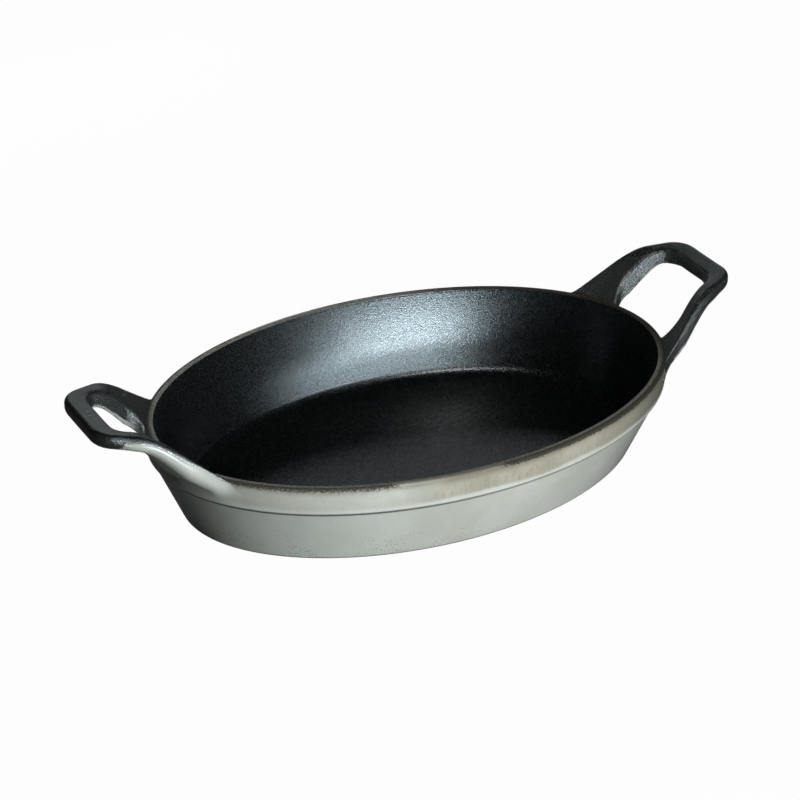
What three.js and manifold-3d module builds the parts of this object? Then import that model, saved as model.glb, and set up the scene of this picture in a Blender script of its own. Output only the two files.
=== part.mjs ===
import * as THREE from 'three';
import { mergeVertices } from 'three/addons/utils/BufferGeometryUtils.js';
import Module from 'manifold-3d';

// Oval cast iron baking dish with two loop handles, in millimetres.
// X runs through the handles, Z is up, and the origin is under the middle of the base.
// One iron casting carries fired enamel coats; only the top of the rim is left bare.

// Rim and outer wall
const rimLength = 280;
const rimBreadth = 189;
const dishHeight = 49.1;
const rimLand = 3.6;
const rimEdgeRadius = 1.2;
const bandHeight = 13.6;
const bandProud = 0.8;
const bandStep = 2;
const bandLipRadius = 1.5;
const baseInset = 15.8;
const baseEdgeRadius = 3;

// Cooking cavity
const lipHeight = 1.5;
const wallThickness = 4.2;
const wallBendHeight = 24;
const wallBendRadius = 80;
const floorThickness = 5;
const floorFillet = 9;

// Loop handles, seen from above
const handleReach = 179.5;
const crossbarWidth = 11.3;
const crossbarOuterSpan = 47;
const crossbarInnerSpan = 36;
const armOuterSplay = THREE.MathUtils.degToRad(21);
const armInnerSplay = THREE.MathUtils.degToRad(24);
const outerCornerRadius = 15;
const innerCornerRadius = 9;
const rootBlendRadius = 44;
const webCornerRadius = 7.5;

// Loop handles, seen from the side
const armAngle = THREE.MathUtils.degToRad(50);
const crossbarAngle = THREE.MathUtils.degToRad(16);
const crossbarRise = 28.2;
const armBend = 4.5;
const handleThickness = 8.2;
const handleEdgeRadius = 1.6;
const handleKeelRadius = 5;

// Enamel
const coatThickness = 0.4;
const bondLine = 0.06;
const coatSeam = 0.3;
const coatLap = 0.3;
const baseCoatHeight = 4;

// Facets
const ovalSteps = 52;
const arcSteps = 3;
const bendSteps = 2;
const cornerSteps = 6;
const edgeSteps = 2;
const loopSteps = 52;

const halfLength = rimLength / 2;
const halfBreadth = rimBreadth / 2;
const ironSetback = coatThickness + bondLine;
const cutMargin = dishHeight;

const wasm = await Module();
wasm.setup();

// Points along straight runs whose corners are rounded, each to its own radius.
function roundedRun(corners, closed) {
  const count = corners.length;
  const points = [];
  corners.forEach((corner, index) => {
    const isEnd = !closed && (index === 0 || index === count - 1);
    if (isEnd || !corner.radius) {
      points.push(corner.at.clone());
      return;
    }
    const before = corners[(index + count - 1) % count].at.clone().sub(corner.at).normalize();
    const after = corners[(index + 1) % count].at.clone().sub(corner.at).normalize();
    const halfAngle = Math.acos(before.dot(after)) / 2;
    const start = corner.at.clone().addScaledVector(before, corner.radius / Math.tan(halfAngle));
    const bisector = before.clone().add(after).normalize();
    const centre = corner.at.clone().addScaledVector(bisector, corner.radius / Math.sin(halfAngle));
    const turn = Math.sign(before.cross(after)) * (2 * halfAngle - Math.PI);
    for (let step = 0; step <= corner.steps; step++) {
      points.push(start.clone().rotateAround(centre, turn * step / corner.steps));
    }
  });
  return points;
}

function corner(x, y, radius = 0, steps = arcSteps) {
  return { at: new THREE.Vector2(x, y), radius, steps };
}

// The run moved sideways into the iron, to the right of its direction, with mitred corners.
function offsetRun(points, distance) {
  return points.map((point, index) => {
    const before = points[Math.max(index - 1, 0)];
    const after = points[Math.min(index + 1, points.length - 1)];
    const arriving = point.clone().sub(before).normalize();
    const leaving = after.clone().sub(point).normalize();
    const along = arriving.clone().add(leaving).normalize();
    const reference = index === 0 ? leaving : arriving;
    const side = new THREE.Vector2(along.y, -along.x);
    return point.clone().addScaledVector(side, distance / along.dot(reference));
  });
}

// A point of the rim's oval moved inwards along the oval's normal.
function ovalPoint(angle, inset) {
  const x = halfLength * Math.cos(angle);
  const y = halfBreadth * Math.sin(angle);
  const normal = new THREE.Vector2(x / halfLength ** 2, y / halfBreadth ** 2).normalize();
  return new THREE.Vector2(x, y).addScaledVector(normal, -inset);
}

// Distance of a point outside the rim's oval, found by walking round to its nearest point.
function distanceFromRim(x, y) {
  const walks = 12;
  const focal = halfLength ** 2 - halfBreadth ** 2;
  let angle = Math.atan2(y * halfLength, x * halfBreadth);
  for (let walk = 0; walk < walks; walk++) {
    const sine = Math.sin(angle);
    const cosine = Math.cos(angle);
    const pull = focal * sine * cosine - x * halfLength * sine + y * halfBreadth * cosine;
    const slope = focal * (cosine ** 2 - sine ** 2) - x * halfLength * cosine - y * halfBreadth * sine;
    angle -= pull / slope;
  }
  const nearest = ovalPoint(angle, 0);
  const inner = ovalPoint(angle, 1);
  const away = nearest.clone().sub(inner);
  return new THREE.Vector2(x, y).sub(nearest).dot(away);
}

// A solid swept round the oval from a profile of insets and heights.
// A ring profile closes on itself; otherwise its first and last rings are closed by flat ovals.
function sweepOval(profile, ring) {
  const positions = [];
  const indices = [];
  for (const point of profile) {
    for (let step = 0; step < ovalSteps; step++) {
      const place = ovalPoint(2 * Math.PI * step / ovalSteps, point.x);
      positions.push(place.x, place.y, point.y);
    }
  }
  const rows = ring ? profile.length : profile.length - 1;
  for (let row = 0; row < rows; row++) {
    const nextRow = (row + 1) % profile.length;
    for (let step = 0; step < ovalSteps; step++) {
      const nextStep = (step + 1) % ovalSteps;
      const a = row * ovalSteps + step;
      const b = row * ovalSteps + nextStep;
      const c = nextRow * ovalSteps + nextStep;
      const d = nextRow * ovalSteps + step;
      indices.push(a, b, c, a, c, d);
    }
  }
  if (!ring) {
    const last = (profile.length - 1) * ovalSteps;
    const floorCentre = positions.length / 3;
    positions.push(0, 0, profile[0].y);
    positions.push(0, 0, profile[profile.length - 1].y);
    for (let step = 0; step < ovalSteps; step++) {
      const nextStep = (step + 1) % ovalSteps;
      indices.push(floorCentre, nextStep, step);
      indices.push(floorCentre + 1, last + step, last + nextStep);
    }
  }
  const geometry = new THREE.BufferGeometry();
  geometry.setAttribute('position', new THREE.Float32BufferAttribute(positions, 3));
  geometry.setIndex(indices);
  return geometry;
}

function toSolid(geometry) {
  const bare = geometry.clone();
  bare.deleteAttribute('normal');
  bare.deleteAttribute('uv');
  const merged = mergeVertices(bare);
  return new wasm.Manifold(new wasm.Mesh({
    numProp: 3,
    vertProperties: new Float32Array(merged.attributes.position.array),
    triVerts: new Uint32Array(merged.index.array),
  }));
}

function toGeometry(solid) {
  const mesh = solid.getMesh();
  const geometry = new THREE.BufferGeometry();
  geometry.setAttribute('position', new THREE.BufferAttribute(mesh.vertProperties, 3));
  geometry.setIndex(new THREE.BufferAttribute(mesh.triVerts, 1));
  geometry.computeVertexNormals();
  return geometry;
}

// Outside of the dish as insets and heights, from the base up to the rim.
const bandFoot = dishHeight - bandHeight;
const wallHead = corner(bandStep - bandProud, bandFoot - bandLipRadius);

function wallInsetAt(height) {
  return THREE.MathUtils.mapLinear(height, 0, wallHead.at.y, baseInset, wallHead.at.x);
}

function basePoints() {
  const flatInset = baseInset + 2 * baseEdgeRadius;
  return roundedRun([
    corner(flatInset, 0),
    corner(baseInset, 0, baseEdgeRadius),
    corner(wallInsetAt(baseCoatHeight), baseCoatHeight),
  ], false);
}

function wallPoints(headCorners) {
  const foot = baseCoatHeight + coatSeam;
  return roundedRun([
    corner(wallInsetAt(foot), foot),
    wallHead,
    corner(-bandProud, bandFoot, bandLipRadius),
    ...headCorners,
  ], false);
}

function outsidePoints() {
  return wallPoints([
    corner(-bandProud, dishHeight, rimEdgeRadius),
    corner(rimEdgeRadius - bandProud + coatLap, dishHeight),
  ]);
}

// Inside of the dish as insets and heights, from the rim down to the floor.
function insidePoints() {
  const wallSlope = Math.atan2(baseInset - wallHead.at.x, wallHead.at.y);
  const levelThickness = wallThickness / Math.cos(wallSlope);
  const bendInset = wallInsetAt(wallBendHeight) + levelThickness;
  const floorInset = wallInsetAt(floorThickness) + levelThickness;
  return roundedRun([
    corner(rimLand, dishHeight),
    corner(rimLand, dishHeight - lipHeight),
    corner(bendInset, wallBendHeight, wallBendRadius, bendSteps),
    corner(floorInset, floorThickness, floorFillet),
    corner(floorInset + floorFillet, floorThickness),
  ], false);
}

// Height of a handle's top above the rim, by its distance from the rim: a steep arm that bends
// softly into the flatter crossbar.
function handleRise(distance) {
  const arm = distance * Math.tan(armAngle);
  const reach = handleReach - halfLength;
  const bar = crossbarRise + (distance - reach) * Math.tan(crossbarAngle);
  const softening = Math.max(armBend - Math.abs(arm - bar), 0) ** 2 / (4 * armBend);
  return Math.min(arm, bar) - softening;
}

// Where the outer line of an arm, run back from the crossbar's corner, meets the rim's oval.
function armFoot(cornerX, cornerY) {
  const back = -Math.cos(armOuterSplay);
  const side = Math.sin(armOuterSplay);
  const square = (back / halfLength) ** 2 + (side / halfBreadth) ** 2;
  const linear = 2 * (cornerX * back / halfLength ** 2 + cornerY * side / halfBreadth ** 2);
  const constant = (cornerX / halfLength) ** 2 + (cornerY / halfBreadth) ** 2 - 1;
  const run = (-linear - Math.sqrt(linear ** 2 - 4 * square * constant)) / (2 * square);
  return new THREE.Vector2(cornerX + run * back, cornerY + run * side);
}

// Outer plan of a handle, moved out by grow: a crossbar and two splayed arms that blend into the
// band. Inside the dish it closes within the thickness of the rim.
function handleOutline(grow) {
  const reach = handleReach + grow;
  const half = crossbarOuterSpan / 2 + grow * Math.tan((Math.PI / 2 - armOuterSplay) / 2);
  const foot = armFoot(reach, half);
  const footAngle = Math.atan2(foot.y * halfLength, foot.x * halfBreadth);
  const root = ovalPoint(footAngle + rootBlendRadius / rimLength, rimLand - grow);
  const upper = [
    corner(reach, half, outerCornerRadius + grow, cornerSteps),
    corner(foot.x, foot.y, rootBlendRadius - grow, cornerSteps),
    corner(root.x, root.y),
  ];
  const lower = upper.map((item) => corner(item.at.x, -item.at.y, item.radius, item.steps)).reverse();
  return roundedRun([...upper, corner(halfLength - 2 * rimLand, 0), ...lower], true);
}

// Hole of a handle, made smaller by grow, with its near side inside the rim.
function holeOutline(grow) {
  const far = handleReach - crossbarWidth - grow;
  const near = halfLength - rimLand + grow;
  const half = crossbarInnerSpan / 2 - grow * Math.tan((Math.PI / 2 - armInnerSplay) / 2);
  const webHalf = half + (far - near) * Math.tan(armInnerSplay);
  return roundedRun([
    corner(near, -webHalf, webCornerRadius - grow, cornerSteps),
    corner(far, -half, innerCornerRadius - grow, cornerSteps),
    corner(far, half, innerCornerRadius - grow, cornerSteps),
    corner(near, webHalf, webCornerRadius - grow, cornerSteps),
  ], true);
}

// Length of a ray from a point inside an outline to that outline.
function rayLength(outline, origin, direction) {
  let longest = 0;
  outline.forEach((point, index) => {
    const from = point.clone().sub(origin);
    const side = outline[(index + 1) % outline.length].clone().sub(point);
    const cross = direction.cross(side);
    const length = from.cross(side) / cross;
    const share = from.cross(direction) / cross;
    if (share >= 0 && share <= 1 && length > longest) longest = length;
  });
  return longest;
}

// A handle on the +X end: rounded sections from the hole out to the edge, lofted all round the
// hole and bent up by the rise of the arms. Headroom lifts the top, to clear what lies above.
function handleSolid(grow, headroom = 0) {
  const outline = handleOutline(grow);
  const hole = holeOutline(grow);
  const middle = new THREE.Vector2((halfLength + handleReach - crossbarWidth) / 2, 0);
  const edge = handleEdgeRadius + grow;
  const keel = handleKeelRadius + grow;
  const probe = 0.01;
  const positions = [];
  const indices = [];
  for (let step = 0; step < loopSteps; step++) {
    const angle = 2 * Math.PI * step / loopSteps;
    const direction = new THREE.Vector2(Math.cos(angle), Math.sin(angle));
    const near = rayLength(hole, middle, direction);
    const far = rayLength(outline, middle, direction);
    const section = roundedRun([
      corner(near, grow + headroom, edge, edgeSteps),
      corner(far, grow + headroom, edge, edgeSteps),
      corner(far, -handleThickness - grow, keel, edgeSteps),
      corner(near, -handleThickness - grow, edge, edgeSteps),
    ], true);
    for (const point of section) {
      const plan = middle.clone().addScaledVector(direction, point.x);
      const distance = distanceFromRim(plan.x, plan.y);
      const slope = (handleRise(distance + probe) - handleRise(distance - probe)) / (2 * probe);
      const height = dishHeight + handleRise(distance) + point.y * Math.hypot(1, slope);
      positions.push(plan.x, plan.y, height);
    }
    const rows = section.length;
    for (let row = 0; row < rows; row++) {
      const nextRow = (row + 1) % rows;
      const nextStep = (step + 1) % loopSteps;
      const a = step * rows + row;
      const b = nextStep * rows + row;
      const c = nextStep * rows + nextRow;
      const d = step * rows + nextRow;
      indices.push(a, d, c, a, c, b);
    }
  }
  const geometry = new THREE.BufferGeometry();
  geometry.setAttribute('position', new THREE.Float32BufferAttribute(positions, 3));
  geometry.setIndex(indices);
  return toSolid(geometry);
}

// The same handle on the -X end.
function turned(solid) {
  return solid.rotate([0, 0, 180]);
}

// Everything within the band and wall, with a seam's clearance, run straight up past the handles.
function dishEnvelope() {
  const wall = wallPoints([corner(-bandProud, dishHeight + cutMargin)]);
  return toSolid(sweepOval(offsetRun([...basePoints(), ...wall], -coatSeam), false));
}

// Sub-parts
const baseRun = basePoints();
const outsideRun = outsidePoints();
const insideRun = insidePoints();

function ironCasting() {
  const outside = offsetRun([...baseRun, ...outsideRun], ironSetback);
  const rimOuter = new THREE.Vector2(outside[outside.length - 1].x + bondLine, dishHeight);
  const bowl = toSolid(sweepOval([...outside, rimOuter], false));
  const core = handleSolid(-ironSetback);
  const inside = offsetRun(insideRun, ironSetback).reverse();
  const mouth = inside[inside.length - 1];
  const cavity = toSolid(sweepOval([...inside, new THREE.Vector2(mouth.x, dishHeight + cutMargin)], false));
  return toGeometry(bowl.add(core).add(turned(core)).subtract(cavity));
}

function interiorEnamel() {
  const outer = offsetRun(insideRun, coatThickness);
  return sweepOval([...outer.reverse(), ...insideRun], false);
}

function exteriorEnamel() {
  const back = offsetRun(outsideRun, coatThickness).reverse();
  const shell = toSolid(sweepOval([...outsideRun, ...back], true));
  const root = handleSolid(coatSeam, rimEdgeRadius);
  return toGeometry(shell.subtract(root).subtract(turned(root)));
}

function baseEnamel() {
  const back = offsetRun(baseRun, coatThickness).reverse();
  return sweepOval([...baseRun, ...back], false);
}

function handleEnamel(isLeft) {
  const shell = handleSolid(0).subtract(handleSolid(-coatThickness));
  const clear = shell.subtract(dishEnvelope());
  return toGeometry(isLeft ? turned(clear) : clear);
}

// Finishes
function finish(color, roughness, metalness) {
  return new THREE.MeshStandardMaterial({ color, roughness, metalness });
}

const bareIron = finish(0x5a5b55, 0.7, 0.4);
const blackEnamel = finish(0x1c2222, 0.55, 0);
const greyEnamel = finish(0x9fa8a0, 0.2, 0);

function node(name, geometry, material) {
  const mesh = new THREE.Mesh(geometry, material);
  mesh.name = name;
  return mesh;
}

const dish = new THREE.Group();
dish.add(
  node('iron_casting', ironCasting(), bareIron),
  node('interior_enamel', interiorEnamel(), blackEnamel),
  node('exterior_enamel', exteriorEnamel(), greyEnamel),
  node('base_enamel', baseEnamel(), greyEnamel),
  node('left_handle_enamel', handleEnamel(true), blackEnamel),
  node('right_handle_enamel', handleEnamel(false), blackEnamel),
);

export default dish;
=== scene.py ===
import math

import bpy
import numpy as np
import openvdb
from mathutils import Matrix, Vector


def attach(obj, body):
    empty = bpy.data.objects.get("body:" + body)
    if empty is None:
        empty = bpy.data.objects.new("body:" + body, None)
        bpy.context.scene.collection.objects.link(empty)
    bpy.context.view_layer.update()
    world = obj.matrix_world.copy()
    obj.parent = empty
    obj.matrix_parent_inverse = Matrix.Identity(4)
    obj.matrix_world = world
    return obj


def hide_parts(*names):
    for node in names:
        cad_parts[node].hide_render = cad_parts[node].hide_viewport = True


# Oval gratin dish of cast iron with fired enamel. Sizes are in millimetres,
# +X runs through the handles, and meshes are made in metres.
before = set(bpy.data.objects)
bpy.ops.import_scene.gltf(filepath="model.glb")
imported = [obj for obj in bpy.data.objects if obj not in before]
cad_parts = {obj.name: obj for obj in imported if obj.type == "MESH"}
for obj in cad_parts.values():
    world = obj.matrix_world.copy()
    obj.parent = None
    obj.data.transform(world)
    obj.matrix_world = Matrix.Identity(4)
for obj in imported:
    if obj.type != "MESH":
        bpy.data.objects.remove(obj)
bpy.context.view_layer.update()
mm = 0.001
print("frame loaded:", sorted(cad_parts))


# Camera at the photograph's angle
cameraSetup = {
    "turn": -28.719,
    "lift": 29.648,
    "distance": 1300,
    "aimHeight": 24.55,
    "lens": 114.746,
    "shiftX": -0.01421,
    "shiftY": 0.02796,
}


def addCamera(setup):
    turn, lift = math.radians(setup["turn"]), math.radians(setup["lift"])
    back = Vector((
        math.sin(turn) * math.cos(lift),
        -math.cos(turn) * math.cos(lift),
        math.sin(lift),
    ))
    data = bpy.data.cameras.new("dishCamera")
    data.lens = setup["lens"]
    data.sensor_width = 36
    data.shift_x = setup["shiftX"]
    data.shift_y = setup["shiftY"]
    camera = bpy.data.objects.new("dishCamera", data)
    bpy.context.scene.collection.objects.link(camera)
    camera.location = Vector((0, 0, setup["aimHeight"] * mm)) + back * setup["distance"] * mm
    camera.rotation_euler = (-back).to_track_quat("-Z", "Y").to_euler()
    bpy.context.scene.camera = camera


addCamera(cameraSetup)
print("camera placed")


# Node helpers: a source is a socket to link or a value to set
def feed(tree, socket, source):
    if isinstance(source, bpy.types.NodeSocket):
        tree.links.new(source, socket)
    elif source is not None:
        socket.default_value = source


def addNode(tree, kind, sources=None, **settings):
    node = tree.nodes.new(kind)
    for name, value in settings.items():
        setattr(node, name, value)
    for name, source in (sources or {}).items():
        feed(tree, node.inputs[name], source)
    return node


def calc(tree, operation, *sources):
    node = addNode(tree, "ShaderNodeMath", operation=operation)
    for socket, source in zip(node.inputs, sources):
        feed(tree, socket, source)
    return node.outputs[0]


def vectorCalc(tree, operation, *sources, scale=None):
    node = addNode(tree, "ShaderNodeVectorMath", operation=operation)
    for socket, source in zip(node.inputs, sources):
        feed(tree, socket, source)
    if scale is not None:
        feed(tree, node.inputs["Scale"], scale)
    return node.outputs["Vector"]


def mixColor(tree, share, first, second):
    node = addNode(tree, "ShaderNodeMix", data_type="RGBA")
    for index, source in ((0, share), (6, first), (7, second)):  # the colour sockets
        feed(tree, node.inputs[index], source)
    return node.outputs[2]


def ramp(tree, source, low, high, start=0.0, end=1.0):
    node = addNode(tree, "ShaderNodeMapRange", interpolation_type="SMOOTHSTEP")
    for socket, item in zip(node.inputs, (source, low, high, start, end)):
        feed(tree, socket, item)
    return node.outputs[0]


def rampMm(tree, source, low, high, start=0.0, end=1.0):
    return ramp(tree, source, low * mm, high * mm, start, end)


# Lines with rounded corners, each corner given as (x, y, radius, steps)
def roundedRun(corners, closed=False, guard=0.0):
    points = []
    count = len(corners)
    for index, (x, y, radius, steps) in enumerate(corners):
        here = np.array((x, y), float)
        if radius == 0 or (not closed and index in (0, count - 1)):
            points.append(here)
            continue
        before = np.array(corners[index - 1][:2], float) - here
        after = np.array(corners[(index + 1) % count][:2], float) - here
        before, after = before / np.linalg.norm(before), after / np.linalg.norm(after)
        half = math.acos(float(before @ after)) / 2
        cut = radius / math.tan(half)
        middle = before + after
        centre = here + middle / np.linalg.norm(middle) * radius / math.sin(half)
        start = here + before * cut - centre
        turn = math.copysign(math.pi - 2 * half, before[1] * after[0] - before[0] * after[1])
        if guard:
            points.append(here + before * (cut + guard))
        for step in range(steps + 1):
            angle = turn * step / steps
            spin = np.array(((math.cos(angle), -math.sin(angle)), (math.sin(angle), math.cos(angle))))
            points.append(centre + spin @ start)
        if guard:
            points.append(here + after * (cut + guard))
    return points


def offsetRun(points, distance):
    points = np.array(points)
    steps = np.diff(points, axis=0)
    steps /= np.linalg.norm(steps, axis=1)[:, None]
    arriving = np.vstack((steps[:1], steps))
    leaving = np.vstack((steps, steps[-1:]))
    along = arriving + leaving
    along /= np.linalg.norm(along, axis=1)[:, None]
    reach = distance / np.sum(along * arriving, axis=1)
    return points + np.stack((along[:, 1], -along[:, 0]), axis=1) * reach[:, None]


# Bowl: profiles as (inset from the rim's oval, height)
bowl = {
    "length": 280,
    "breadth": 189,
    "height": 49.1,
    "rimLand": 3.6,
    "rimEdge": 1.3,
    "rimInnerEdge": 0.8,
    "bandHeight": 13.6,
    "bandProud": 0.8,
    "bandStep": 2,
    "bandLip": 1.2,
    "bandNeck": 0.5,
    "bandCrown": 0.45,
    "crownHeight": 0.42,  # share of the band's height
    "crownRadius": 20,
    "coatLap": 1.75,  # onto the top of the rim
    "baseInset": 15.8,
    "baseEdge": 3,
    "wallThickness": 4.2,
    "wallBendHeight": 24,
    "wallBendRadius": 80,
    "lipHeight": 1.5,
    "floorThickness": 5,
    "floorFillet": 7,
    "coat": 0.4,
    "bond": 0.06,
    "stepsAround": 320,
    "capRings": 10,
    "guard": 0.35,  # points beside each rounded corner
    "landRun": 2.2,  # straight ends of the inside, in radii of their corners
    "floorRun": 1.5,
    "bareSteps": 7,  # points of the inside that stay bare
}
halfLength, halfBreadth = bowl["length"] / 2, bowl["breadth"] / 2
bandFoot = bowl["height"] - bowl["bandHeight"]
wallHeadInset = bowl["bandStep"] - bowl["bandProud"]
wallHeadHeight = bandFoot - bowl["bandLip"]


def wallInset(height):
    return bowl["baseInset"] + (wallHeadInset - bowl["baseInset"]) * height / wallHeadHeight


def outsideRun():
    proud, top = -bowl["bandProud"], bowl["height"]
    edge = proud + bowl["bandCrown"]
    return roundedRun([
        (bowl["baseInset"] + 2 * bowl["baseEdge"], 0, 0, 0),
        (bowl["baseInset"], 0, bowl["baseEdge"], 10),
        (wallHeadInset, wallHeadHeight, bowl["bandNeck"], 5),
        (edge, bandFoot, bowl["bandLip"], 8),
        (proud, bandFoot + bowl["crownHeight"] * bowl["bandHeight"], bowl["crownRadius"], 8),
        (edge, top, bowl["rimEdge"], 8),
        (edge + bowl["coatLap"], top, 0, 0),
    ], guard=bowl["guard"])


def insideRun():
    slope = math.atan2(bowl["baseInset"] - wallHeadInset, wallHeadHeight)
    level = bowl["wallThickness"] / math.cos(slope)
    foot = wallInset(bowl["floorThickness"]) + level
    land, top = bowl["rimLand"], bowl["height"]
    return roundedRun([
        (land - bowl["landRun"] * bowl["rimInnerEdge"], top, 0, 0),
        (land, top, bowl["rimInnerEdge"], 6),
        (land, top - bowl["lipHeight"], 0, 0),
        (wallInset(bowl["wallBendHeight"]) + level, bowl["wallBendHeight"], bowl["wallBendRadius"], 12),
        (foot, bowl["floorThickness"], bowl["floorFillet"], 16),
        (foot + bowl["floorRun"] * bowl["floorFillet"], bowl["floorThickness"], 0, 0),
    ], guard=bowl["guard"])


# Sweep round the oval: a point of the profile is (inset, size of the oval, height)
def ovalSweepTree():
    tree = bpy.data.node_groups.new("ovalSweep", "GeometryNodeTree")
    sockets = (
        ("Geometry", "INPUT", "NodeSocketGeometry"),
        ("Half Length", "INPUT", "NodeSocketFloat"),
        ("Half Breadth", "INPUT", "NodeSocketFloat"),
        ("Steps Around", "INPUT", "NodeSocketInt"),
        ("Finish", "INPUT", "NodeSocketMaterial"),
        ("Geometry", "OUTPUT", "NodeSocketGeometry"),
    )
    for name, side, kind in sockets:
        tree.interface.new_socket(name, in_out=side, socket_type=kind)
    given = tree.nodes.new("NodeGroupInput").outputs
    profileSize = addNode(tree, "GeometryNodeAttributeDomainSize", {"Geometry": given["Geometry"]})
    rows = profileSize.outputs["Point Count"]
    grid = addNode(tree, "GeometryNodeMeshGrid", {
        "Vertices X": calc(tree, "ADD", given["Steps Around"], 1),
        "Vertices Y": rows,
    })
    index = addNode(tree, "GeometryNodeInputIndex").outputs[0]
    column = calc(tree, "FLOOR", calc(tree, "DIVIDE", calc(tree, "ADD", index, 0.5), rows))
    row = calc(tree, "SUBTRACT", index, calc(tree, "MULTIPLY", column, rows))
    profile = addNode(tree, "GeometryNodeSampleIndex", {
        "Geometry": given["Geometry"],
        "Index": row,
    }, data_type="FLOAT_VECTOR", domain="POINT")
    feed(tree, profile.inputs["Value"], addNode(tree, "GeometryNodeInputPosition").outputs[0])
    point = addNode(tree, "ShaderNodeSeparateXYZ", {"Vector": profile.outputs["Value"]}).outputs
    angle = calc(tree, "MULTIPLY", calc(tree, "DIVIDE", column, given["Steps Around"]), 2 * math.pi)
    cosine, sine = calc(tree, "COSINE", angle), calc(tree, "SINE", angle)
    oval = addNode(tree, "ShaderNodeCombineXYZ", {
        "X": calc(tree, "MULTIPLY", cosine, given["Half Length"]),
        "Y": calc(tree, "MULTIPLY", sine, given["Half Breadth"]),
    }).outputs[0]
    outward = addNode(tree, "ShaderNodeCombineXYZ", {
        "X": calc(tree, "DIVIDE", cosine, given["Half Length"]),
        "Y": calc(tree, "DIVIDE", sine, given["Half Breadth"]),
    }).outputs[0]
    inset = calc(tree, "MULTIPLY", point["X"], -1)
    inward = vectorCalc(tree, "SCALE", vectorCalc(tree, "NORMALIZE", outward), scale=inset)
    flat = vectorCalc(tree, "SCALE", vectorCalc(tree, "ADD", oval, inward), scale=point["Y"])
    lift = addNode(tree, "ShaderNodeCombineXYZ", {"Z": point["Z"]}).outputs[0]
    moved = addNode(tree, "GeometryNodeSetPosition", {
        "Geometry": grid.outputs["Mesh"],
        "Position": vectorCalc(tree, "ADD", flat, lift),
    })
    merged = addNode(tree, "GeometryNodeMergeByDistance", {"Geometry": moved.outputs[0], "Distance": 1e-6})
    smooth = addNode(tree, "GeometryNodeSetShadeSmooth", {"Geometry": merged.outputs[0]})
    real = addNode(tree, "GeometryNodeRealizeInstances", {"Geometry": smooth.outputs[0]})
    done = addNode(tree, "GeometryNodeSetMaterial", {
        "Geometry": real.outputs[0],
        "Material": given["Finish"],
    })
    feed(tree, tree.nodes.new("NodeGroupOutput").inputs["Geometry"], done.outputs[0])
    return tree


ovalSweep = ovalSweepTree()


# Rings that close a sweep at its middle
def capRows(inset, height, outwards):
    shares = [step / bowl["capRings"] for step in range(bowl["capRings"])]
    return [(inset, share, height) for share in (shares if outwards else reversed(shares))]


def sweepPiece(name, rows, finish, slot, *nodes):
    mesh = bpy.data.meshes.new(name)
    mesh.from_pydata([(inset * mm, shrink, height * mm) for inset, shrink, height in rows], [], [])
    piece = bpy.data.objects.new(name, mesh)
    bpy.context.scene.collection.objects.link(piece)
    modifier = piece.modifiers.new("sweep", "NODES")
    modifier.node_group = ovalSweep
    values = {
        "Half Length": halfLength * mm,
        "Half Breadth": halfBreadth * mm,
        "Steps Around": bowl["stepsAround"],
        "Finish": finish,
    }
    for item in ovalSweep.interface.items_tree:
        if item.in_out == "INPUT" and item.name in values:
            modifier[item.identifier] = values[item.name]
    depsgraph = bpy.context.evaluated_depsgraph_get()
    piece.data = bpy.data.meshes.new_from_object(piece.evaluated_get(depsgraph))
    piece.modifiers.clear()
    piece.data.name = name
    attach(piece, "root")
    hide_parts(*nodes)
    print(name, len(piece.data.vertices), "points")


def asRows(run):
    return [(inset, 1, height) for inset, height in run]


# Shader groups that more than one finish uses
def addSockets(tree, inputs, outputs):
    for name, default in inputs:
        socket = tree.interface.new_socket(name, in_out="INPUT", socket_type="NodeSocketFloat")
        socket.default_value = default
    for name in outputs:
        kind = "NodeSocketColor" if name == "Color" else "NodeSocketFloat"
        tree.interface.new_socket(name, in_out="OUTPUT", socket_type=kind)
    return tree.nodes.new("NodeGroupInput").outputs, tree.nodes.new("NodeGroupOutput").inputs


def noise(tree, place, scale, detail=2.0, roughness=0.5):
    node = addNode(tree, "ShaderNodeTexNoise", {
        "Vector": place, "Scale": scale, "Detail": detail, "Roughness": roughness,
    })
    return node.outputs["Fac"]


sandLook = {
    "grainScale": 1500.0,
    "patchScale": 60.0,
    "cellScale": 0.9,  # share of the grain's scale
    "cellHeight": 0.5,
    "fleck": (0.38, 0.66),
    "patch": (0.3, 0.7),
}


def sandGroup():
    look = sandLook
    tree = bpy.data.node_groups.new("sandGrain", "ShaderNodeTree")
    scales = [("Grain Scale", look["grainScale"]), ("Patch Scale", look["patchScale"])]
    given, made = addSockets(tree, scales, ["Height", "Fleck", "Patch"])
    place = addNode(tree, "ShaderNodeTexCoord").outputs["Object"]
    fine = noise(tree, place, given["Grain Scale"], 2.0, 0.6)
    cells = addNode(tree, "ShaderNodeTexVoronoi", {
        "Vector": place, "Scale": calc(tree, "MULTIPLY", given["Grain Scale"], look["cellScale"]),
    })
    grains = calc(tree, "MULTIPLY", cells.outputs["Distance"], look["cellHeight"])
    feed(tree, made["Height"], calc(tree, "ADD", fine, grains))
    feed(tree, made["Fleck"], ramp(tree, fine, *look["fleck"]))
    feed(tree, made["Patch"], ramp(tree, noise(tree, place, given["Patch Scale"], 4.0), *look["patch"]))
    return tree


peelLook = {
    "peelScale": 330.0,
    "swellScale": 0.2,  # share of the peel's scale
    "swellHeight": 2.5,
    "pitScale": 760.0,
    "crowdScale": 45.0,
    "crowd": (0.34, 0.56, 0.03, 0.22),
    "pitEdge": (0.05, -0.03),
}


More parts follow.
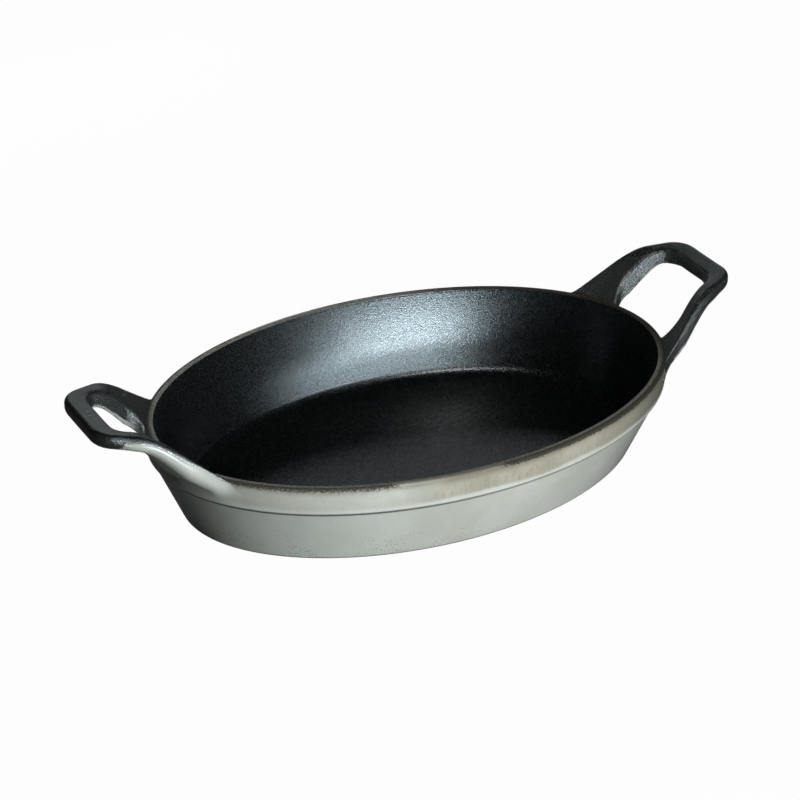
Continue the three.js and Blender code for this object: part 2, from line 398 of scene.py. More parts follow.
def peelGroup():
    look = peelLook
    tree = bpy.data.node_groups.new("glossPeel", "ShaderNodeTree")
    given, made = addSockets(tree, [("Peel Scale", look["peelScale"])], ["Height", "Pit"])
    place = addNode(tree, "ShaderNodeTexCoord").outputs["Object"]
    peel = noise(tree, place, given["Peel Scale"], 2.0, 0.4)
    swell = noise(tree, place, calc(tree, "MULTIPLY", given["Peel Scale"], look["swellScale"]), 1.0, 0.4)
    feed(tree, made["Height"], calc(tree, "ADD", peel, calc(tree, "MULTIPLY", swell, look["swellHeight"])))
    pits = addNode(tree, "ShaderNodeTexVoronoi", {"Vector": place, "Scale": look["pitScale"]})
    crowd = ramp(tree, noise(tree, place, look["crowdScale"], 3.0), *look["crowd"])
    fromPit = calc(tree, "SUBTRACT", pits.outputs["Distance"], crowd)
    feed(tree, made["Pit"], ramp(tree, fromPit, *look["pitEdge"]))
    return tree


sandGrain = sandGroup()
glossPeel = peelGroup()


def useGroup(tree, group, **values):
    node = addNode(tree, "ShaderNodeGroup", node_tree=group)
    for name, value in values.items():
        node.inputs[name.replace("_", " ")].default_value = value
    return node.outputs


def newFinish(name):
    material = bpy.data.materials.new(name)
    material.use_nodes = True
    return material, material.node_tree, material.node_tree.nodes["Principled BSDF"].inputs


def bumped(tree, height, strength, distance, under=None):
    node = addNode(tree, "ShaderNodeBump", {
        "Height": height, "Strength": strength, "Distance": distance, "Normal": under,
    })
    return node.outputs["Normal"]


enamelColors = {
    "black": (0.0013, 0.0018, 0.0020, 1),
    "blackDusty": (0.0021, 0.0027, 0.0029, 1),
    "grit": (0.0085, 0.0096, 0.0099, 1),
    "soot": (0.0065, 0.0075, 0.0072, 1),
    "sootDusty": (0.031, 0.034, 0.0325, 1),
    "grey": (0.44, 0.48, 0.445, 1),
    "greyPale": (0.49, 0.53, 0.50, 1),
    "band": (0.245, 0.241, 0.195, 1),
    "bandPale": (0.315, 0.311, 0.263, 1),
    "bandDark": (0.135, 0.130, 0.102, 1),
    "burnt": (0.021, 0.0195, 0.0135, 1),
    # dark of the real pits, also used as painted shade under the band's lip and at the foot
    "pitsAndPaintedShade": (0.045, 0.055, 0.050, 1),
    "iron": (0.155, 0.152, 0.135, 1),
    "ironDark": (0.075, 0.070, 0.056, 1),
    "ironPale": (0.31, 0.305, 0.28, 1),
}


# Grey glaze of the outside: browner on the band to the right and at the rim,
# with a paler strip at the band's foot that is partly a painted highlight, and a
# painted shade line under the band's lip. A ramp is (low, high, start, end).
glazeLook = {
    "driftScale": 40.0,
    "drift": (0.3, 0.72),
    "thinFrom": -75,
    "thinTo": -20,
    "darkEnd": (50, 125),
    "wobbleScale": 30.0,
    "wobbleAlong": 60,
    "wobbleUp": 4,
    "overRim": (-3, 0),
    "mottleScale": 700.0,
    "mottleDrawn": (1.0, 1.0, 0.35),
    "mottle": (0.45, 0.75, 0.0, 0.42),
    "scorch": (5.5, 1.0, 0.0, 0.75),
    # band paler at its foot: partly its own colour, partly a painted highlight
    "paleFootAndHighlight": (0.9, 3.4, 0.25, 1.0),
    "brim": (4.2, 1.2, 0.4, 0.9),
    "brimFoot": (0, 3),
    # painted shade line under the band's lip, stronger to the left
    "neckShade": (0.9, 0.3),
    "neckShadeAlong": (-60, 20, 0.85, 0.55),
}


def glazeGroup():
    look = glazeLook
    tree = bpy.data.node_groups.new("greyGlaze", "ShaderNodeTree")
    given, made = addSockets(tree, [
        ("Neck", (wallHeadHeight - bowl["bandNeck"]) * mm),
        ("Band Foot", bandFoot * mm),
        ("Rim Top", bowl["height"] * mm),
        ("Thin From", look["thinFrom"] * mm),
        ("Thin To", look["thinTo"] * mm),
    ], ["Color", "Drift"])
    place = addNode(tree, "ShaderNodeTexCoord").outputs["Object"]
    spot = addNode(tree, "ShaderNodeSeparateXYZ", {"Vector": place}).outputs
    drift = ramp(tree, noise(tree, place, look["driftScale"], 5.0, 0.6), *look["drift"])
    wall = mixColor(tree, drift, enamelColors["grey"], enamelColors["greyPale"])
    thin = mixColor(tree, drift, enamelColors["band"], enamelColors["bandPale"])
    thin = mixColor(tree, rampMm(tree, spot["X"], *look["darkEnd"]), thin, enamelColors["bandDark"])
    wobble = calc(tree, "SUBTRACT", noise(tree, place, look["wobbleScale"], 3.0), 0.5)
    along = calc(tree, "ADD", spot["X"], calc(tree, "MULTIPLY", wobble, look["wobbleAlong"] * mm))
    height = calc(tree, "ADD", spot["Z"], calc(tree, "MULTIPLY", wobble, look["wobbleUp"] * mm))
    overFoot = calc(tree, "SUBTRACT", height, given["Band Foot"])
    underRim = calc(tree, "SUBTRACT", given["Rim Top"], height)
    onBand = rampMm(tree, underRim, *look["overRim"])
    brown = calc(tree, "MULTIPLY", ramp(tree, along, given["Thin From"], given["Thin To"]), onBand)
    drawn = vectorCalc(tree, "MULTIPLY", place, look["mottleDrawn"])
    mottle = ramp(tree, noise(tree, drawn, look["mottleScale"], 3.0, 0.7), *look["mottle"])
    scorch = calc(tree, "MULTIPLY", rampMm(tree, underRim, *look["scorch"]), brown)
    thin = mixColor(tree, calc(tree, "MAXIMUM", mottle, scorch), thin, enamelColors["bandDark"])
    # Paler over the band's lowest few millimetres: partly the glaze's own colour, partly a painted
    # highlight.
    upper = calc(tree, "MULTIPLY", brown, rampMm(tree, overFoot, *look["paleFootAndHighlight"]))
    brim = calc(tree, "MULTIPLY", rampMm(tree, underRim, *look["brim"]),
                rampMm(tree, overFoot, *look["brimFoot"]))
    share = calc(tree, "MAXIMUM", upper, calc(tree, "MULTIPLY", brim, onBand))
    # Painted shade: a dark line on the wall under the band's overhanging lip.
    fromNeck = calc(tree, "ABSOLUTE", calc(tree, "SUBTRACT", spot["Z"], given["Neck"]))
    paintedNeckShade = calc(tree, "MULTIPLY", rampMm(tree, fromNeck, *look["neckShade"]),
                  rampMm(tree, spot["X"], *look["neckShadeAlong"]))
    glaze = mixColor(tree, share, wall, thin)
    feed(tree, made["Color"], mixColor(tree, paintedNeckShade, glaze, enamelColors["pitsAndPaintedShade"]))
    feed(tree, made["Drift"], drift)
    return tree


greyGlaze = glazeGroup()

blackLook = {
    "sparkle": (0.62, 0.95),
    "specular": 0.75,
    "roughness": (0.22, 0.32),
    "bump": (0.38, 0.0002),  # strength and distance
}


def blackFinish():
    look = blackLook
    material, tree, shader = newFinish("mattBlackEnamel")
    sand = useGroup(tree, sandGrain)
    color = mixColor(tree, sand["Patch"], enamelColors["black"], enamelColors["blackDusty"])
    sparkle = ramp(tree, sand["Fleck"], *look["sparkle"])
    feed(tree, shader["Base Color"], mixColor(tree, sparkle, color, enamelColors["grit"]))
    shader["Specular IOR Level"].default_value = look["specular"]
    feed(tree, shader["Roughness"], ramp(tree, sand["Fleck"], 0.0, 1.0, *look["roughness"]))
    feed(tree, shader["Normal"], bumped(tree, sand["Height"], *look["bump"]))
    return material


greyLook = {
    "speckScale": 1250.0,
    "edgeUnder": 3.4,  # burnt edge, from under the rim's top
    "edgeOver": 0.2,
    "scorch": (-45, 35, 0.44, 0.62),
    "cleanFrom": (-62, -48),
    "cleanTo": (6, -8),
    "cleanShare": 0.38,
    "burnt": (0.66, 0.86),
    "burntStart": (0.0, 0.3, 0.0, 0.9),
    "pitsUp": (26, 5, 0.12, 0.8),
    "pitsAlong": (10, -60, 0.25, 1.0),
    # painted shade at the foot
    "foot": (2.4, 0.5, 0.0, 0.8),
    "roughness": (0.17, 0.24),
    "burntRoughness": 0.5,
    "edgeGrit": (0.0, 0.6, 0.0, 2.0),
    "bump": (0.12, 0.0003),
}


def greyFinish():
    look = greyLook
    material, tree, shader = newFinish("glossGreyEnamel")
    peel = useGroup(tree, glossPeel)
    glaze = useGroup(tree, greyGlaze)
    place = addNode(tree, "ShaderNodeTexCoord").outputs["Object"]
    spot = addNode(tree, "ShaderNodeSeparateXYZ", {"Vector": place}).outputs
    speck = noise(tree, place, look["speckScale"], 2.0, 0.6)
    edge = rampMm(tree, spot["Z"], bowl["height"] - look["edgeUnder"], bowl["height"] + look["edgeOver"])
    scorched = rampMm(tree, spot["X"], *look["scorch"])
    clean = calc(tree, "MULTIPLY", rampMm(tree, spot["X"], *look["cleanFrom"]),
                 rampMm(tree, spot["X"], *look["cleanTo"]))
    scorched = calc(tree, "SUBTRACT", scorched, calc(tree, "MULTIPLY", clean, look["cleanShare"]))
    burnt = ramp(tree, calc(tree, "ADD", speck, calc(tree, "MULTIPLY", edge, scorched)), *look["burnt"])
    burnt = calc(tree, "MULTIPLY", burnt, ramp(tree, edge, *look["burntStart"]))
    low = calc(tree, "MULTIPLY", rampMm(tree, spot["Z"], *look["pitsUp"]),
               rampMm(tree, spot["X"], *look["pitsAlong"]))
    color = mixColor(tree, calc(tree, "MULTIPLY", peel["Pit"], low), glaze["Color"], enamelColors["pitsAndPaintedShade"])
    # Painted shade: darker towards the foot, where the dish meets the floor.
    color = mixColor(tree, rampMm(tree, spot["Z"], *look["foot"]), color, enamelColors["pitsAndPaintedShade"])
    color = mixColor(tree, burnt, color, enamelColors["burnt"])
    feed(tree, shader["Base Color"], color)
    gloss = ramp(tree, glaze["Drift"], 0.0, 1.0, *look["roughness"])
    dulled = calc(tree, "MULTIPLY", burnt, look["burntRoughness"])
    feed(tree, shader["Roughness"], calc(tree, "ADD", gloss, dulled))
    gritty = calc(tree, "MULTIPLY", speck, ramp(tree, edge, *look["edgeGrit"]))
    feed(tree, shader["Normal"], bumped(tree, calc(tree, "ADD", peel["Height"], gritty), *look["bump"]))
    return material


ironLook = {
    "grainScale": 900.0,
    "patchScale": 90.0,
    "palerSlant": 0.55,
    "paler": (-60, 90, 0.15, 1.0),
    "palerPatch": (0.6, 1.0),
    "fleckShare": 0.7,
    "darkSlant": 0.6,
    "darkRight": (60, 138, 0.0, 0.9),
    "burnt": (85, 138, 0.0, 0.85),
    "roughness": (0.5, 0.7),
    "metallic": 0.2,
    "bump": (0.8, 0.0003),
}


def ironFinish():
    look = ironLook
    material, tree, shader = newFinish("bareIron")
    sand = useGroup(tree, sandGrain, Grain_Scale=look["grainScale"], Patch_Scale=look["patchScale"])
    place = addNode(tree, "ShaderNodeTexCoord").outputs["Object"]
    spot = addNode(tree, "ShaderNodeSeparateXYZ", {"Vector": place}).outputs
    # Paler towards the back and left, in patches.
    across = calc(tree, "SUBTRACT", spot["Y"], calc(tree, "MULTIPLY", spot["X"], look["palerSlant"]))
    paler = calc(tree, "MULTIPLY", rampMm(tree, across, *look["paler"]),
                ramp(tree, sand["Patch"], 0.0, 1.0, *look["palerPatch"]))
    color = mixColor(tree, paler, enamelColors["iron"], enamelColors["ironPale"])
    # Darker and browner towards the right end, with the grain's flecks darker too.
    corner = calc(tree, "ADD", spot["X"], calc(tree, "MULTIPLY", spot["Y"], look["darkSlant"]))
    flecksAndDarkRight = calc(tree, "MAXIMUM", calc(tree, "MULTIPLY", sand["Fleck"], look["fleckShare"]),
                   rampMm(tree, corner, *look["darkRight"]))
    color = mixColor(tree, flecksAndDarkRight, color, enamelColors["ironDark"])
    color = mixColor(tree, rampMm(tree, corner, *look["burnt"]), color, enamelColors["burnt"])
    feed(tree, shader["Base Color"], color)
    feed(tree, shader["Roughness"], ramp(tree, sand["Fleck"], 0.0, 1.0, *look["roughness"]))
    shader["Metallic"].default_value = look["metallic"]
    feed(tree, shader["Normal"], bumped(tree, sand["Height"], *look["bump"]))
    return material


handleLook = {
    "grainScale": 1200.0,
    "speckScale": 1300.0,
    "speckShare": 1.6,
    "black": (0.3, 0.62),
    "specular": 0.6,
    "rubbed": (0.9, 0.55, 0.3, 1.0),  # smoother where it faces up
    "roughness": (0.2, 0.32),
    "grainStart": (0.0, 0.4),
    "grainBump": (1.0, 0.0003),
}


def handleFinish():
    look = handleLook
    material, tree, shader = newFinish("handleEnamel")
    sand = useGroup(tree, sandGrain, Grain_Scale=look["grainScale"])
    peel = useGroup(tree, glossPeel)
    glaze = useGroup(tree, greyGlaze)
    place = addNode(tree, "ShaderNodeTexCoord").outputs["Object"]
    coat = addNode(tree, "ShaderNodeAttribute", attribute_name="blackCoat").outputs["Fac"]
    speck = calc(tree, "SUBTRACT", noise(tree, place, look["speckScale"], 3.0, 0.7), 0.5)
    specked = calc(tree, "ADD", coat, calc(tree, "MULTIPLY", speck, look["speckShare"]))
    black = ramp(tree, specked, *look["black"])
    dark = mixColor(tree, sand["Fleck"], enamelColors["soot"], enamelColors["sootDusty"])
    loop = addNode(tree, "ShaderNodeAttribute", attribute_name="onLoop").outputs["Fac"]
    plain = mixColor(tree, glaze["Drift"], enamelColors["grey"], enamelColors["greyPale"])
    grey = mixColor(tree, loop, glaze["Color"], plain)
    feed(tree, shader["Base Color"], mixColor(tree, black, grey, dark))
    shader["Specular IOR Level"].default_value = look["specular"]
    facing = addNode(tree, "ShaderNodeNewGeometry").outputs["Normal"]
    upward = addNode(tree, "ShaderNodeSeparateXYZ", {"Vector": facing}).outputs["Z"]
    rubbed = ramp(tree, upward, *look["rubbed"])
    matted = calc(tree, "MULTIPLY", black, rubbed)
    feed(tree, shader["Roughness"], ramp(tree, matted, 0.0, 1.0, *look["roughness"]))
    grain = calc(tree, "MULTIPLY", sand["Height"], ramp(tree, coat, *look["grainStart"]))
    sandy = bumped(tree, calc(tree, "MULTIPLY", grain, rubbed), *look["grainBump"])
    feed(tree, shader["Normal"], bumped(tree, peel["Height"], *greyLook["bump"], sandy))
    return material


outside, inside = outsideRun(), insideRun()
bareInside, coatedInside = inside[:bowl["bareSteps"]], inside[bowl["bareSteps"]:]
greyEnamel, blackEnamel, bareIron, handleEnamel = greyFinish(), blackFinish(), ironFinish(), handleFinish()
print("finishes mixed")


def outerCoatRows():
    back = offsetRun(outside, bowl["coat"])[::-1]
    front = capRows(*outside[0], True) + asRows(outside)
    return front + asRows(back) + capRows(*back[-1], False)


def cavityCoatRows():
    back = offsetRun(coatedInside, bowl["coat"])[::-1]
    front = asRows(coatedInside) + capRows(*coatedInside[-1], False)
    return capRows(*back[0], True) + asRows(back) + front


def ironRows():
    setback = bowl["coat"] + bowl["bond"]
    under, within = offsetRun(outside, setback), offsetRun(coatedInside, setback)
    lip = [(under[-1][0] + bowl["bond"], bowl["height"])] + bareInside
    front = asRows(lip) + asRows(within) + capRows(*within[-1], False)
    return capRows(*under[0], True) + asRows(under) + front


sweepPiece("outerEnamel", outerCoatRows(), greyEnamel, "grey_enamel", "exterior_enamel", "base_enamel")
sweepPiece("cavityEnamel", cavityCoatRows(), blackEnamel, "black_enamel", "interior_enamel")
sweepPiece("ironBowl", ironRows(), bareIron, "bare_iron", "iron_casting")


# Loop handles, worked out as distances and meshed where the distance is nought
handle = {
    "reach": 179.5,
    "crossbar": 11.3,
    "outerSpan": 47,
    "innerSpan": 39,
    "outerSplay": math.radians(21),
    "innerSplay": math.radians(16),
    "outerCorner": 15,
    "innerCorner": 8.5,
    "rootBlend": 44,
    "webCorner": 7.5,
    "armAngle": math.radians(54),
    "crossbarAngle": math.radians(8.5),
    "rise": 28.2,
    "armBend": 9,
    "stations": (0, 6, 16, 27, 31, 39.5),  # away from the rim
    "thickness": (5.4, 6.8, 8.8, 7.8, 7.4, 8.8),
    "shoulder": (0.8, 0.9, 3.2, 2.8, 2.6, 2.8),
    "keel": (2.4, 3, 4.2, 4, 4, 4.4),
    "ease": (-3, -1.5, 0, 1.5, 3),  # shifts that are averaged
    "edge": 1.8,
    "holeKeel": 2.8,
    "draft": 0.3,
    "draftFrom": (9, 17),
    "flare": 0.26,
    "flareOver": (2, 12, 26, 36),
    "flow": 4.5,  # fillet onto the wall
    "rimFlow": 1.0,
    "flowDepth": 8,
    "sink": 0.03,
    "skirt": 2.2,
    "rimClear": 0.5,
    "rimCut": 4,
    "cornerSteps": 24,
}
meshing = {
    "room": ((100, -70, 12), (182, 70, 80)),
    "voxel": 0.7,
    "bandVoxels": 4,
    "sectionDepth": 40,
    "tableStep": 0.2,
    "rimRounds": 8,
    "riseProbe": 0.01,
    "rounds": 2,
    "relax": 0.6,
    "pulls": 2,
    "pullProbe": 0.02,
    "leastSteep": 0.2,
    "mostPull": 0.4,
}


# How far points lie outside the rim's oval
def rimDistance(x, y):
    angle = np.arctan2(y * halfLength, x * halfBreadth)
    focal = halfLength**2 - halfBreadth**2
    for _ in range(meshing["rimRounds"]):
        sine, cosine = np.sin(angle), np.cos(angle)
        pull = focal * sine * cosine - x * halfLength * sine + y * halfBreadth * cosine
        slope = focal * (cosine**2 - sine**2) - x * halfLength * cosine - y * halfBreadth * sine
        angle = angle - pull / slope
    across, along = np.cos(angle) / halfLength, np.sin(angle) / halfBreadth
    size = np.hypot(across, along)
    apart = (x - halfLength * np.cos(angle)) * across + (y - halfBreadth * np.sin(angle)) * along
    return apart / size


# Distance to a closed outline, below nought within it
def outlineDistance(x, y, outline):
    nearest = np.full(x.shape, np.inf)
    within = np.zeros(x.shape, bool)
    for (x0, y0), (x1, y1) in zip(outline, np.roll(outline, -1, axis=0)):
        dx, dy = x1 - x0, y1 - y0
        share = np.clip(((x - x0) * dx + (y - y0) * dy) / (dx * dx + dy * dy), 0, 1)
        nearest = np.minimum(nearest, np.hypot(x - x0 - share * dx, y - y0 - share * dy))
        if dy:
            within ^= ((y0 > y) != (y1 > y)) & (x < x0 + (y - y0) * dx / dy)
    return np.where(within, -nearest, nearest)


def ovalPoint(angle, inset):
    x, y = halfLength * math.cos(angle), halfBreadth * math.sin(angle)
    across, along = x / halfLength**2, y / halfBreadth**2
    size = math.hypot(across, along)
    return x - across / size * inset, y - along / size * inset


def handleOutline():
    reach, half, splay = handle["reach"], handle["outerSpan"] / 2, handle["outerSplay"]
    back, side = -math.cos(splay), math.sin(splay)
    square = (back / halfLength) ** 2 + (side / halfBreadth) ** 2
    linear = 2 * (reach * back / halfLength**2 + half * side / halfBreadth**2)
    constant = (reach / halfLength) ** 2 + (half / halfBreadth) ** 2 - 1
    run = (-linear - math.sqrt(linear**2 - 4 * square * constant)) / (2 * square)
    foot = (reach + run * back, half + run * side)
    footAngle = math.atan2(foot[1] * halfLength, foot[0] * halfBreadth)
    root = ovalPoint(footAngle + handle["rootBlend"] / bowl["length"], bowl["rimLand"])
    steps = handle["cornerSteps"]
    upper = [
        (reach, half, handle["outerCorner"], steps),
        (*foot, handle["rootBlend"], steps),
        (*root, 0, 0),
    ]
    lower = [(x, -y, radius, count) for x, y, radius, count in reversed(upper)]
    return np.array(roundedRun([*upper, (halfLength - 2 * bowl["rimLand"], 0, 0, 0), *lower], closed=True))


def holeOutline():
    far, near = handle["reach"] - handle["crossbar"], halfLength - bowl["rimLand"]
    half = handle["innerSpan"] / 2
    web = half + (far - near) * math.tan(handle["innerSplay"])
    steps = handle["cornerSteps"]
    return np.array(roundedRun([
        (near, -web, handle["webCorner"], steps),
        (far, -half, handle["innerCorner"], steps),
        (far, half, handle["innerCorner"], steps),
        (near, web, handle["webCorner"], steps),
    ], closed=True))


def handleRise(distance):
    arm = distance * math.tan(handle["armAngle"])
    bar = handle["rise"] + (distance - handle["reach"] + halfLength) * math.tan(handle["crossbarAngle"])
    soft = np.maximum(handle["armBend"] - np.abs(arm - bar), 0) ** 2 / (4 * handle["armBend"])
    return np.minimum(arm, bar) - soft


def alongHandle(name, distance):
    sizes = [np.interp(distance + shift, handle["stations"], handle[name]) for shift in handle["ease"]]
    return np.mean(sizes, axis=0)


def smoothStep(value, low, high):
    share = np.clip((value - low) / (high - low), 0, 1)
    return share * share * (3 - 2 * share)


# Inside both shapes, with the edge between them rounded
def insideBoth(first, second, radius):
    rounded = np.hypot(np.maximum(first + radius, 0), np.maximum(second + radius, 0))
    return np.minimum(np.maximum(first, second), -radius) + rounded


# Either shape, with a fillet between them
def flowing(first, second, reach):
    share = np.maximum(reach - np.abs(first - second), 0) / reach
    return np.minimum(first, second) - share**3 * reach / 6


handlePlan, holePlan = handleOutline(), holeOutline()
sectionBack = [(-meshing["sectionDepth"], bowl["height"]), (-meshing["sectionDepth"], 0)]
bowlSection = np.array([(-inset, height) for inset, height in outside] + sectionBack)


def planOf(x, y):
    distance = rimDistance(x, y)
    flareStart, flareFull, flareFade, flareEnd = handle["flareOver"]
    flare = handle["flare"] * smoothStep(distance, flareStart, flareFull)
    probe = meshing["riseProbe"]
    slope = (handleRise(distance + probe) - handleRise(distance - probe)) / (2 * probe)
    return {
        "outer": outlineDistance(x, y, handlePlan),
        "hole": outlineDistance(x, y, holePlan),
        "distance": distance,
        "top": bowl["height"] + handleRise(distance),
        "stretch": np.hypot(1, slope),
        "thickness": alongHandle("thickness", distance),
        "shoulder": alongHandle("shoulder", distance),
        "keel": alongHandle("keel", distance),
        "draft": handle["draft"] * smoothStep(np.abs(y), *handle["draftFrom"]),
        "flare": flare * smoothStep(distance, flareEnd, flareFade),
    }


def handleValue(plan, z):
    above = (z - plan["top"]) / plan["stretch"]
    below = -above - plan["thickness"]
    gap = -plan["hole"] + plan["draft"] * np.minimum(above, 0)
    side = plan["outer"] + plan["flare"] * np.minimum(above, 0)
    return np.maximum.reduce([
        insideBoth(side, above, plan["shoulder"]),
        insideBoth(side, below, plan["keel"]),
        insideBoth(gap, above, handle["edge"]),
        insideBoth(gap, below, handle["holeKeel"]),
    ])


def pieceValue(plan, z, bowlValue):
    loop = handleValue(plan, z)
    low = smoothStep(bowl["height"] - z, 0, handle["flowDepth"])
    flow = handle["rimFlow"] + (handle["flow"] - handle["rimFlow"]) * low
    joined = flowing(bowlValue + handle["sink"], loop, flow)
    rimCut = -np.maximum(plan["distance"] + handle["rimClear"], bowl["height"] - handle["rimCut"] - z)
    return np.maximum.reduce([joined, -(bowlValue + handle["skirt"]), loop - handle["flow"], rimCut])


def valueAt(points):
    plan = planOf(points[:, 0], points[:, 1])
    return pieceValue(plan, points[:, 2], outlineDistance(plan["distance"], points[:, 2], bowlSection))


def meshHandle():
    low, high = (np.array(corner, float) for corner in meshing["room"])
    voxel, step = meshing["voxel"], meshing["tableStep"]
    xs, ys, zs = (np.arange(start, end, voxel) for start, end in zip(low, high))
    gridX, gridY = np.meshgrid(xs, ys, indexing="ij")
    plan = {name: value[:, :, None] for name, value in planOf(gridX, gridY).items()}
    reach = np.arange(plan["distance"].min() - 1, plan["distance"].max() + 1, step)
    table = outlineDistance(*np.meshgrid(reach, zs, indexing="ij"), bowlSection)
    place = (plan["distance"][:, :, 0] - reach[0]) / step
    base = place.astype(int)
    share = (place - base)[:, :, None]
    bowlValue = table[base] * (1 - share) + table[base + 1] * share
    volume = openvdb.FloatGrid(voxel * meshing["bandVoxels"])
    volume.copyFromArray(pieceValue(plan, zs[None, None, :], bowlValue).astype(np.float32))
    points, quads = volume.convertToQuads(0.0)
    points = points.astype(float) * voxel + low
    return refine(points, quads.astype(int)), quads.astype(int)


# Even the mesh out and pull it back onto the surface
def refine(points, quads):
    pairs = np.vstack([quads[:, (side, (side + 1) % 4)] for side in range(4)])
    probe, most = meshing["pullProbe"], meshing["mostPull"]
    for _ in range(meshing["rounds"]):
        total, count = np.zeros_like(points), np.zeros(len(points))
        for first, second in ((0, 1), (1, 0)):
            np.add.at(total, pairs[:, first], points[pairs[:, second]])
            np.add.at(count, pairs[:, first], 1)
        points = points + meshing["relax"] * (total / count[:, None] - points)
        for _ in range(meshing["pulls"]):
            value = valueAt(points)
            slope = np.stack([
                (valueAt(points + probe * axis) - value) / probe for axis in np.eye(3)
            ], axis=1)
            steep = np.maximum(np.sum(slope**2, axis=1), meshing["leastSteep"])
            points = points - np.clip(value / steep, -most, most)[:, None] * slope
    return points


# Black on the tops, in the finger gap and all round the crossbar, grey below
blackSpread = {
    "left": (1.3, 4.0),  # depth of the black at the root and along the arm
    # the right's black reaches deeper than the left's, so its outer sides are darker: partly painted shade
    "right": (7.0, 9.5),
    "rootToArm": (6, 14),
    "topFade": 0.4,
    "offLoop": (2.0, 0.4),
    "gapFace": (3.5, 1.5),
    "gapFoot": (-1.2, -3.2),
    "gapRoot": (0.5, 3.0),
    "barStart": (27, 36),
    "barFoot": (0.5, -3.0),
}


def blackCoat(points, shallow, deep):
    spread = blackSpread
    plan = planOf(points[:, 0], points[:, 1])
    depth = (plan["top"] - points[:, 2]) / plan["stretch"]
    overFoot = depth - plan["thickness"]
    onLoop = smoothStep(handleValue(plan, points[:, 2]), *spread["offLoop"])
    reach = shallow + (deep - shallow) * smoothStep(plan["distance"], *spread["rootToArm"])
    top = smoothStep(depth, reach, spread["topFade"] * reach) * onLoop
    gap = smoothStep(plan["hole"], *spread["gapFace"]) * smoothStep(overFoot, *spread["gapFoot"])
    gap = gap * onLoop * smoothStep(plan["distance"], *spread["gapRoot"])
    bar = smoothStep(plan["distance"], *spread["barStart"]) * smoothStep(overFoot, *spread["barFoot"])
    return np.maximum.reduce([top, gap, bar]), onLoop


handlePoints, handleQuads = meshHandle()


def addHandle(name, side, node, coatEdge):
    mesh = bpy.data.meshes.new(name)
    mesh.from_pydata((handlePoints * (side, side, 1) * mm).tolist(), [], handleQuads.tolist())
    for mask, values in zip(("blackCoat", "onLoop"), blackCoat(handlePoints, *coatEdge)):
        mesh.attributes.new(mask, "FLOAT", "POINT").data.foreach_set("value", values.astype(np.float32))
    mesh.polygons.foreach_set("use_smooth", [True] * len(mesh.polygons))
    mesh.materials.append(handleEnamel)
    piece = bpy.data.objects.new(name, mesh)
    bpy.context.scene.collection.objects.link(piece)
    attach(piece, "root")
    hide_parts(node)
    print(name, len(mesh.polygons), "faces")


addHandle("leftHandle", -1, "left_handle_enamel", blackSpread["left"])
addHandle("rightHandle", 1, "right_handle_enamel", blackSpread["right"])


# Floor, world and lamps, in metres
studio = {
    "floorSize": 8.0,
    "floorDrop": 0.0002,
    "floorColor": (0.08, 0.08, 0.08, 1),
    "floorShown": 0.98,
    "floorMirrored": 0.02,
    "worldColor": (0.004, 0.0044, 0.0046, 1),
    "backdropColor": (1, 1, 1, 1),
    "aim": (0, 0, 0.03),
    # name, place, size, power, colour, rays that miss it, pieces that it lights alone
    "lamps": (
        ("keyLamp", (0.01, -0.45, 0.11), (0.20, 0.16), 2.2, (1.0, 1.0, 0.99), "glossy", ()),
        ("sheenLamp", (0.07, -1.50, 0.17), (1.0, 0.32), 92, (0.74, 0.92, 1.0), "diffuse", ("cavityEnamel",)),
        ("hazeLamp", (0.33, -1.50, 0.52), (1.5, 0.30), 20, (0.74, 0.92, 1.0), "diffuse", ("cavityEnamel",)),
        ("glintLamp", (0.0, -1.50, 0.07), (1.1, 0.14), 75, (0.80, 0.94, 1.0), "diffuse",
         ("leftHandle", "rightHandle")),
        ("topLamp", (-0.06, -0.80, 1.05), (0.26, 0.20), 4.2, (0.95, 0.99, 1.0), "", ()),
        ("backLamp", (0.75, 1.37, 0.68), (1.40, 0.46), 1.6, (0.88, 0.97, 1.0), "diffuse", ()),
        ("fillLamp", (-0.05, 0.90, 0.35), (0.60, 0.50), 3.6, (1.0, 1.0, 1.0), "glossy", ()),
        ("rearLamp", (0.0, 0.62, 0.11), (0.30, 0.16), 3.0, (1.0, 1.0, 1.0), "glossy", ()),
    ),
}


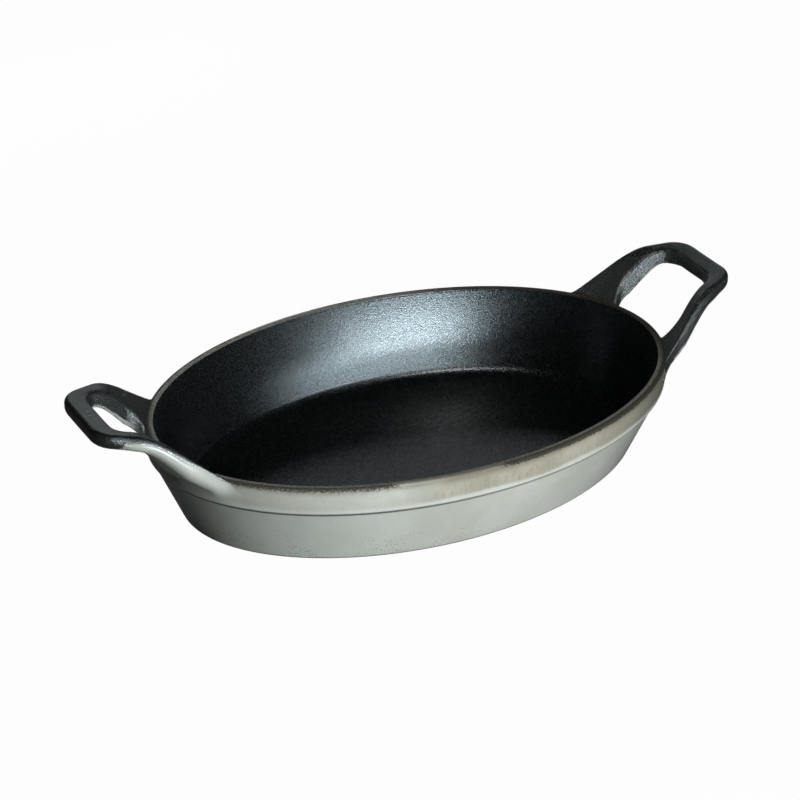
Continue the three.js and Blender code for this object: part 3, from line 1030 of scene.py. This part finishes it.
# White to the camera, darker to the dish, and clear from below
def addFloor():
    half, level = studio["floorSize"] / 2, -studio["floorDrop"]
    corners = [(-half, -half, level), (half, -half, level), (half, half, level), (-half, half, level)]
    mesh = bpy.data.meshes.new("studioFloor")
    mesh.from_pydata(corners, [], [(0, 1, 2, 3)])
    floor = bpy.data.objects.new("studioFloor", mesh)
    bpy.context.scene.collection.objects.link(floor)
    material, tree, shader = newFinish("paleFloor")
    shader["Base Color"].default_value = studio["floorColor"]
    shader["Roughness"].default_value = 0.9
    shader["Specular IOR Level"].default_value = 0.0
    glow = addNode(tree, "ShaderNodeEmission", {"Color": studio["backdropColor"], "Strength": 1.0})
    path = addNode(tree, "ShaderNodeLightPath").outputs
    mirrored = calc(tree, "MAXIMUM", path["Is Glossy Ray"], path["Is Transmission Ray"])
    share = calc(tree, "MAXIMUM", calc(tree, "MULTIPLY", path["Is Camera Ray"], studio["floorShown"]),
                 calc(tree, "MULTIPLY", mirrored, studio["floorMirrored"]))
    mix = addNode(tree, "ShaderNodeMixShader", {"Fac": share})
    feed(tree, mix.inputs[1], tree.nodes["Principled BSDF"].outputs[0])
    feed(tree, mix.inputs[2], glow.outputs[0])
    back = addNode(tree, "ShaderNodeNewGeometry").outputs["Backfacing"]
    fromBelow = calc(tree, "MULTIPLY", path["Is Camera Ray"], back)
    clear = addNode(tree, "ShaderNodeMixShader", {"Fac": fromBelow})
    feed(tree, clear.inputs[1], mix.outputs[0])
    feed(tree, clear.inputs[2], addNode(tree, "ShaderNodeBsdfTransparent").outputs[0])
    feed(tree, tree.nodes["Material Output"].inputs["Surface"], clear.outputs[0])
    mesh.materials.append(material)


def addWorld():
    world = bpy.data.worlds.new("studioWorld")
    bpy.context.scene.world = world
    world.use_nodes = True
    tree = world.node_tree
    path = addNode(tree, "ShaderNodeLightPath").outputs
    shown = mixColor(tree, path["Is Camera Ray"], studio["worldColor"], studio["backdropColor"])
    feed(tree, tree.nodes["Background"].inputs["Color"], shown)


def addLamps():
    for name, place, size, power, color, unseen, lit in studio["lamps"]:
        data = bpy.data.lights.new(name, "AREA")
        data.shape = "RECTANGLE"
        data.size, data.size_y = size
        data.energy = power
        data.color = color
        lamp = bpy.data.objects.new(name, data)
        bpy.context.scene.collection.objects.link(lamp)
        lamp.location = place
        lamp.rotation_euler = (Vector(studio["aim"]) - lamp.location).to_track_quat("-Z", "Y").to_euler()
        lamp.visible_camera = False
        lamp.visible_glossy = unseen != "glossy"
        lamp.visible_diffuse = unseen != "diffuse"
        if lit:
            lamp.light_linking.receiver_collection = bpy.data.collections.new(name + "Lights")
            for piece in lit:
                lamp.light_linking.receiver_collection.objects.link(bpy.data.objects[piece])


addFloor()
addWorld()
addLamps()
bpy.context.scene.view_settings.view_transform = "Standard"
print("studio lit")
